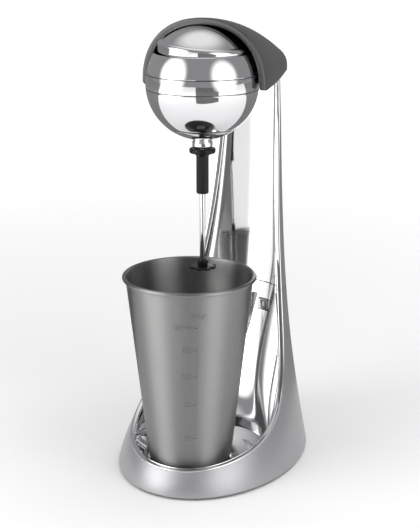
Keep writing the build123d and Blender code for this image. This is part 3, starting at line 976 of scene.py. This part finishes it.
class MIXER_OT_head(bpy.types.Operator):
    """Model the chrome ball, its band and the collar under it"""

    bl_idname = "mixer.head"
    bl_label = "Motor head"

    def execute(self, context):
        seam = sizes().seam
        wall = sizes().bowl_wall
        band_drop = 3.0 * MM
        band_rise = 6.5 * MM
        middle = BALL_HEIGHT
        cap_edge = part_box("ball_cap")[1].z - middle
        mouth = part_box("upper_bowl")[1].z - middle
        for name, low, high, *replaced in (
            ("ball_lower", cap_edge + seam, -band_drop - seam, "lower_bowl"),
            ("ball_upper", band_rise + seam, mouth, "upper_bowl"),
            ("ball_belt", -band_drop, band_rise),
        ):
            piece = turned(name, bowl_outline(middle, low, high, wall), SPINDLE_Y, 0.12 * MM)
            finish_piece(piece, STAND, "chrome", *replaced)
        collar_low, collar_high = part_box("shaft_collar")
        collar_radius = half_size("shaft_collar").x
        inner = 2.8 * MM
        start = math.degrees(-math.acos((collar_radius + MM) / BALL_RADIUS))
        end = math.degrees(math.asin(cap_edge / BALL_RADIUS))
        outline = arc((0.0, middle), BALL_RADIUS, start, end, 20)
        outline += arc((0.0, middle), BALL_RADIUS - wall, end - 2.0, start, 20)
        outline += [(inner, collar_high.z + wall), (inner, collar_high.z)]
        cap = turned("ball_end_cap", outline, SPINDLE_Y)
        finish_piece(cap, STAND, "chrome", "ball_cap")
        # Dark rings under the grooves: painted shade in place of the shadow inside each groove.
        for number, low in enumerate((cap_edge, -band_drop - seam, band_rise), 1):
            shade_ring = turned(f"groove_seal_{number}", groove_shade_outline(middle, low, seam), SPINDLE_Y, 0.0)
            finish_piece(shade_ring, STAND, "dark_plastic")
        bore = 2.2 * MM
        neck = collar_radius - 0.5 * MM
        outline = [
            (bore, collar_low.z), (collar_radius - 1.2 * MM, collar_low.z),
            (collar_radius, collar_low.z + 1.2 * MM), (collar_radius, collar_high.z - 1.6 * MM),
            (neck, collar_high.z - 1.2 * MM), (neck, collar_high.z + 0.6 * MM),
            (bore, collar_high.z + 0.6 * MM),
        ]
        collar = turned("collar", outline, SPINDLE_Y)
        finish_piece(collar, STAND, "chrome", "shaft_collar")
        return {"FINISHED"}


class MIXER_OT_switch(bpy.types.Operator):
    """Model the rocking dome that switches the motor"""

    bl_idname = "mixer.switch"
    bl_label = "Switch dome"

    def execute(self, context):
        ball = BALL_HEIGHT
        pivot = centre("switch_pin")
        tilt = math.radians(5.0)
        radius = 31.6 * MM
        skin = BALL_RADIUS - 0.2 * MM
        corner = radius - 3.8 * MM
        wall = 2.4 * MM
        corner_turn = math.degrees(math.acos(corner / skin))
        corner_z = ball + math.sqrt(skin**2 - corner**2)
        rim_z = corner_z - 2.9 * MM
        edge_z = rim_z - 5.7 * MM
        inner = corner - 1.6 * MM
        inner_turn = math.degrees(math.acos(inner / (skin - wall)))
        outline = arc((0.0, ball), skin, 90.0, corner_turn, 28)
        for step in range(1, 7):
            turn = math.pi / 2 * step / 6
            across = corner + (radius - corner) * math.sin(turn)
            outline.append((across, rim_z + (corner_z - rim_z) * math.cos(turn)))
        outline += [(radius - 0.7 * MM, edge_z + 0.6 * MM), (radius - 1.9 * MM, edge_z), (inner, edge_z)]
        outline += arc((0.0, ball), skin - wall, inner_turn, 90.0, 20)
        dome = turned("rocker_dome", outline, SPINDLE_Y, 0.0)
        smooth(dome, 50.0)
        tilted = Matrix.Translation(pivot) @ Matrix.Rotation(tilt, 4, "Y") @ Matrix.Translation(-pivot)
        dome.data.transform(tilted)
        finish_piece(dome, "switch_dome", "chrome", "switch_dome")
        lug_half = 3.5 * MM
        for side in (-1, 1):
            y = SPINDLE_Y + side * 13.0 * MM
            lug = block(
                f"rocker_lug_{'front' if side < 0 else 'back'}",
                (-lug_half, y - 1.3 * MM, pivot.z - lug_half),
                (lug_half, y + 1.3 * MM, ball + 34.6 * MM),
                0.4 * MM,
            )
            lug.data.transform(tilted)
            finish_piece(lug, "switch_dome", "dark_plastic")
        return {"FINISHED"}


# ------------------------------------------------------------ stirrer
class MIXER_OT_stirrer(bpy.types.Operator):
    """Model the coupling sleeve, the rod and the whisk"""

    bl_idname = "mixer.stirrer"
    bl_label = "Stirrer"

    def execute(self, context):
        low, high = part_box("coupling_sleeve")
        flange = half_size("coupling_sleeve").x
        body = 4.4 * MM
        bore = 1.65 * MM
        flange_low = high.z - 3.2 * MM
        outline = [
            (0.0, low.z), (body - 0.6 * MM, low.z), (body, low.z + 0.6 * MM),
            (body, flange_low - 2.5 * MM), (body + 0.7 * MM, flange_low - 1.2 * MM),
            (body + 2.2 * MM, flange_low), (flange - 0.4 * MM, flange_low),
            (flange, flange_low + 0.5 * MM), (flange, high.z - 0.5 * MM),
            (flange - 0.5 * MM, high.z), (bore, high.z), (bore, high.z - 20.0 * MM),
            (0.0, high.z - 20.0 * MM),
        ]
        sleeve = turned("drive_sleeve", outline, SPINDLE_Y, 0.2 * MM, 64)
        finish_piece(sleeve, "stirrer", "black_plastic", "coupling_sleeve")

        low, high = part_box("stirrer_rod")
        radius = half_size("stirrer_rod").x
        outline = [(0.0, low.z), (radius, low.z), (radius, high.z), (0.0, high.z)]
        rod = turned("rod", outline, SPINDLE_Y, 0.2 * MM, 48)
        finish_piece(rod, "stirrer", "rod_steel", "stirrer_rod")

        low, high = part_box("whisk_hub")
        radius = half_size("whisk_hub").x
        bore = 1.8 * MM
        outline = [
            (bore, low.z), (radius, low.z), (radius, high.z - 1.2 * MM), (radius - MM, high.z), (bore, high.z)
        ]
        hub = turned("whisk_boss", outline, SPINDLE_Y, 0.25 * MM, 48)
        finish_piece(hub, "stirrer", "black_plastic", "whisk_hub")
        self.whisk()
        return {"FINISHED"}

    def whisk(self):
        """A thin disc with round notches in its edge."""
        low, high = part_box("whisk_disc")
        radius = 9.7 * MM
        notch = 1.7 * MM
        notch_place = radius + 0.5 * MM
        count = sizes().whisk_notches
        deselect()
        bpy.ops.mesh.primitive_circle_add(vertices=240, radius=radius, fill_type="NGON")
        disc = named("whisk")
        pitch = math.tau / count
        for vertex in disc.data.vertices:
            turn = math.atan2(vertex.co.y, vertex.co.x)
            off = turn % pitch - pitch / 2
            across = notch_place * math.sin(off)
            reach = radius
            if abs(across) < notch:
                reach = min(radius, notch_place * math.cos(off) - math.sqrt(notch**2 - across**2))
            vertex.co = (reach * math.cos(turn), SPINDLE_Y + reach * math.sin(turn), low.z)
        edit(disc)
        bpy.ops.mesh.extrude_region_move(TRANSFORM_OT_translate={"value": (0.0, 0.0, high.z - low.z)})
        close_edit()
        clean(disc)
        bevel(disc, 0.25 * MM, 2, 60.0)
        smooth(disc, 40.0)
        finish_piece(disc, "stirrer", "black_plastic", "whisk_disc")


# ------------------------------------------------------------ cup
SCALE_MARKS = [("450 ml", 127.5), ("350", 111.0), ("250", 90.5), ("150", 69.0), ("50", 42.0)]


def cup_radius(height):
    """Outside of the cup's wall at a height."""
    return CUP_FOOT + (CUP_MOUTH - CUP_FOOT) / CUP_RISE * (height - CUP_LOW)


def wrap_on_cup(piece, height):
    """Lay a flat raised mark, drawn in XY and rising in Z, round the cup."""
    start = sizes().scale_angle
    for vertex in piece.data.vertices:
        level = height + vertex.co.y
        radius = cup_radius(level) + vertex.co.z
        turn = start + vertex.co.x / cup_radius(level)
        vertex.co = (radius * math.sin(turn), CUP_Y - radius * math.cos(turn), level)


class MIXER_OT_cup(bpy.types.Operator):
    """Model the steel cup and its raised scale"""

    bl_idname = "mixer.cup"
    bl_label = "Cup"

    def execute(self, context):
        low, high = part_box("cup")
        wall = sizes().cup_wall
        rim = sizes().cup_rim
        corner = sizes().cup_corner
        top = high.z - rim
        bottom = low.z
        corner_middle = (CUP_FOOT - corner + 0.3 * MM, bottom + corner)
        levels = [bottom + (top - bottom) * step / 24 for step in range(2, 24)]
        outline = [(0.0, bottom)]
        outline += arc(corner_middle, corner, -90.0, 0.0, 8)
        outline += [(cup_radius(level), level) for level in levels]
        outline += [(cup_radius(top) - 0.1 * MM, top - MM)]
        outline += arc((cup_radius(top) + rim - wall, top), rim, -100.0, 180.0, 18)
        outline += [(cup_radius(level) - wall, level) for level in reversed(levels)]
        outline += arc(corner_middle, corner - wall, 0.0, -90.0, 8)
        outline += [(0.0, bottom + wall)]
        cup = turned("steel_cup", outline, CUP_Y, 0.0, 128)
        smooth(cup, 60.0)
        finish_piece(cup, "cup", "brushed_steel", "cup")
        self.scale_line()
        for text, height in SCALE_MARKS:
            self.mark(text, height * MM)
        self.mark("MAX", 136.0 * MM)
        return {"FINISHED"}

    def scale_line(self):
        """The upright line of the scale, with a tick at each mark."""
        low, high = 41.0 * MM, 130.5 * MM
        steps = 24
        half = 0.5 * MM
        rows = [[(x, (high - low) * step / steps, 0.0) for step in range(steps + 1)] for x in (-half, half)]
        self.raise_mark(surface("scale_line", rows), low)
        half = 0.3 * MM
        for text, height in SCALE_MARKS:
            rows = [[(x * MM, y, 0.0) for x in (-3, -2, -1, 0)] for y in (-half, half)]
            self.raise_mark(surface("scale_tick_" + text.split()[0], rows), height * MM)

    def raise_mark(self, piece, height):
        """Give a flat mark its thickness and lay it on the cup."""
        edit(piece)
        bpy.ops.mesh.extrude_region_move(TRANSFORM_OT_translate={"value": (0.0, 0.0, sizes().emboss)})
        bpy.ops.mesh.select_all(action="SELECT")
        bpy.ops.mesh.normals_make_consistent(inside=False)
        close_edit()
        self.lay(piece, height)

    def mark(self, text, height):
        """A raised number or word left of the line."""
        deselect()
        bpy.ops.object.text_add()
        label = bpy.context.object
        label.data.body = text
        label.data.size = 5.2 * MM
        label.data.align_x = "CENTER" if text == "MAX" else "RIGHT"
        label.data.align_y = "CENTER"
        label.data.extrude = sizes().emboss / 2
        label.data.resolution_u = 3
        bpy.ops.object.convert(target="MESH")
        piece = named("scale_" + text.replace(" ", "_"))
        edit(piece)
        shift = 0.0 if text == "MAX" else -4.0 * MM
        bpy.ops.transform.translate(value=(shift, 0.0, sizes().emboss / 2))
        bpy.ops.mesh.remove_doubles(threshold=0.002 * MM)
        close_edit()
        self.lay(piece, height)

    def lay(self, piece, height):
        wrap_on_cup(piece, height)
        clean(piece)
        finish_piece(piece, "cup", "brushed_steel")


# ------------------------------------------------------------ inside and stage
class MIXER_OT_inside(bpy.types.Operator):
    """Give every CAD node that stays its own finish"""

    bl_idname = "mixer.inside"
    bl_label = "Inner pieces"

    def execute(self, context):
        for row in frame["record"]["subparts"]:
            node = frame["nodes"][row["node"]]
            for slot in node.material_slots:
                slot.material = materials[row["material_slot"]]
        return {"FINISHED"}


CARDS = [
    ("left_card", (-0.98, -1.03, 0.66), (2.0, 2.3), 3.6),
    ("right_card", (1.32, -0.55, 0.66), (1.9, 2.3), 2.6),
    ("top_card", (-0.15, 0.3, 1.7), (2.4, 2.4), 0.95),
]


def soft_card(name, place, size, power):
    """A glowing card with soft edges, which lights the mixer from one side."""
    deselect()
    bpy.ops.mesh.primitive_plane_add(size=1.0)
    card = named(name)
    finish = Finish(name, 1.0)
    finish.tree.nodes.remove(finish.shader)
    spread = finish.node(
        "ShaderNodeTexGradient", {"gradient_type": "SPHERICAL"}, {0: finish.place((2.0, 2.0, 2.0))}
    )
    ramp = finish.node(
        "ShaderNodeValToRGB",
        {"stops": [(0.0, (0.0, 0.0, 0.0)), (0.75, (1.0, 1.0, 1.0))]},
        {"Fac": spread.outputs[1]},
    )
    ramp.color_ramp.interpolation = "EASE"
    glow = finish.node("ShaderNodeEmission", None, {"Strength": power})
    clear = finish.node("ShaderNodeBsdfTransparent")
    faded = finish.node(
        "ShaderNodeMixShader", None, {0: ramp.outputs[0], 1: clear.outputs[0], 2: glow.outputs[0]}
    )
    finish.feed(finish.tree.nodes["Material Output"].inputs[0], faded.outputs[0])
    card.data.materials.append(finish.material)
    card.location = place
    card.scale = (*size, 1.0)
    aim = Vector((0.0, 0.0, 0.25)) - Vector(place)
    card.rotation_euler = aim.to_track_quat("Z", "Y").to_euler()
    card.visible_camera = False


def floor_flag(name, tone, *corners):
    """A grey sheet on the floor that is seen only in the mixer's gloss.

    Its corners are given across and away from the camera.
    """
    deselect()
    bpy.ops.mesh.primitive_plane_add(size=1.0)
    sheet = named(name)
    for vertex, corner in zip(sheet.data.vertices, corners, strict=True):
        vertex.co = (*corner, 0.004)
    sheet.rotation_euler = (0.0, 0.0, CAMERA_TURN)
    finish = Finish(name, 0.9)
    finish.shader.inputs["Base Color"].default_value = (tone, tone, tone, 1.0)
    sheet.data.materials.append(finish.material)
    for ray in ("camera", "diffuse", "shadow", "transmission"):
        setattr(sheet, f"visible_{ray}", False)


class MIXER_OT_stage(bpy.types.Operator):
    """Set the floor, the soft lights and the camera"""

    bl_idname = "mixer.stage"
    bl_label = "Stage"

    def execute(self, context):
        deselect()
        bpy.ops.mesh.primitive_plane_add(size=40.0, location=(0.0, 0.0, 0.0))
        floor = named("studio_floor")
        finish = Finish("studio floor", 0.7, 0.0, Specular_IOR_Level=0.2)
        pale = finish_colours().floor
        finish.colour(shade(pale, 0.99), pale, finish.noise(3.0))
        floor.data.materials.append(finish.material)

        near, far = 0.47, 19.5
        left, right = -0.23, 0.62    # the front flag's sides, across for each metre of distance
        floor_flag(
            "front_flag", 0.13,
            (left * far, -far), (right * far, -far), (left * near, -near), (right * near, -near),
        )
        floor_flag("back_flag", 0.2, (-far, 0.15), (far, 0.15), (-far, far), (far, far))
        for card in CARDS:
            soft_card(*card)

        deselect()
        bpy.ops.object.light_add(type="SUN", location=(0.0, 0.0, 3.0))
        sun = bpy.context.object
        sun.data.energy = 2.8
        sun.data.angle = math.radians(60.0)
        sun.visible_glossy = False
        sun.rotation_euler = (math.radians(-12.0), 0.0, 0.0)

        world = bpy.data.worlds.new("studio")
        bpy.context.scene.world = world
        world.use_nodes = True
        surround = world.node_tree.nodes["Background"]
        surround.inputs["Color"].default_value = (1.0, 1.0, 1.02, 1.0)
        surround.inputs["Strength"].default_value = 0.3
        bpy.context.scene.view_settings.view_transform = "Standard"

        deselect()
        bpy.ops.object.camera_add(location=CAMERA_PLACE)
        camera = bpy.context.object
        camera.data.lens = 89.98
        camera.data.sensor_width = 36.0
        camera.rotation_euler = Vector(CAMERA_AIM).to_track_quat("-Z", "Y").to_euler()
        bpy.context.scene.camera = camera
        return {"FINISHED"}


class MIXER_PT_panel(bpy.types.Panel):
    """Steps that model the mixer, in order"""

    bl_idname = "MIXER_PT_panel"
    bl_label = "Milkshake Mixer"
    bl_space_type = "VIEW_3D"
    bl_region_type = "UI"
    bl_category = "Mixer"

    def draw(self, context):
        layout = self.layout
        for group in (context.scene.mixer_sizes, context.scene.mixer_finish):
            for name in group.__annotations__:
                layout.prop(group, name)
        for step in STEPS:
            layout.operator(f"mixer.{step}")


STEPS = ("inside", "stand", "fittings", "hood", "head", "switch", "stirrer", "cup", "stage")
CLASSES = (
    MixerSizes,
    MixerFinish,
    MIXER_OT_inside,
    MIXER_OT_stand,
    MIXER_OT_fittings,
    MIXER_OT_hood,
    MIXER_OT_head,
    MIXER_OT_switch,
    MIXER_OT_stirrer,
    MIXER_OT_cup,
    MIXER_OT_stage,
    MIXER_PT_panel,
)


def register():
    for each in CLASSES:
        bpy.utils.register_class(each)
    bpy.types.Scene.mixer_sizes = bpy.props.PointerProperty(type=MixerSizes)
    bpy.types.Scene.mixer_finish = bpy.props.PointerProperty(type=MixerFinish)


def unregister():
    del bpy.types.Scene.mixer_finish
    del bpy.types.Scene.mixer_sizes
    for each in reversed(CLASSES):
        bpy.utils.unregister_class(each)


def main():
    register()
    materials.update(make_finishes())
    for step in STEPS:
        getattr(bpy.ops.mixer, step)()


if __name__ == "__main__":
    main()
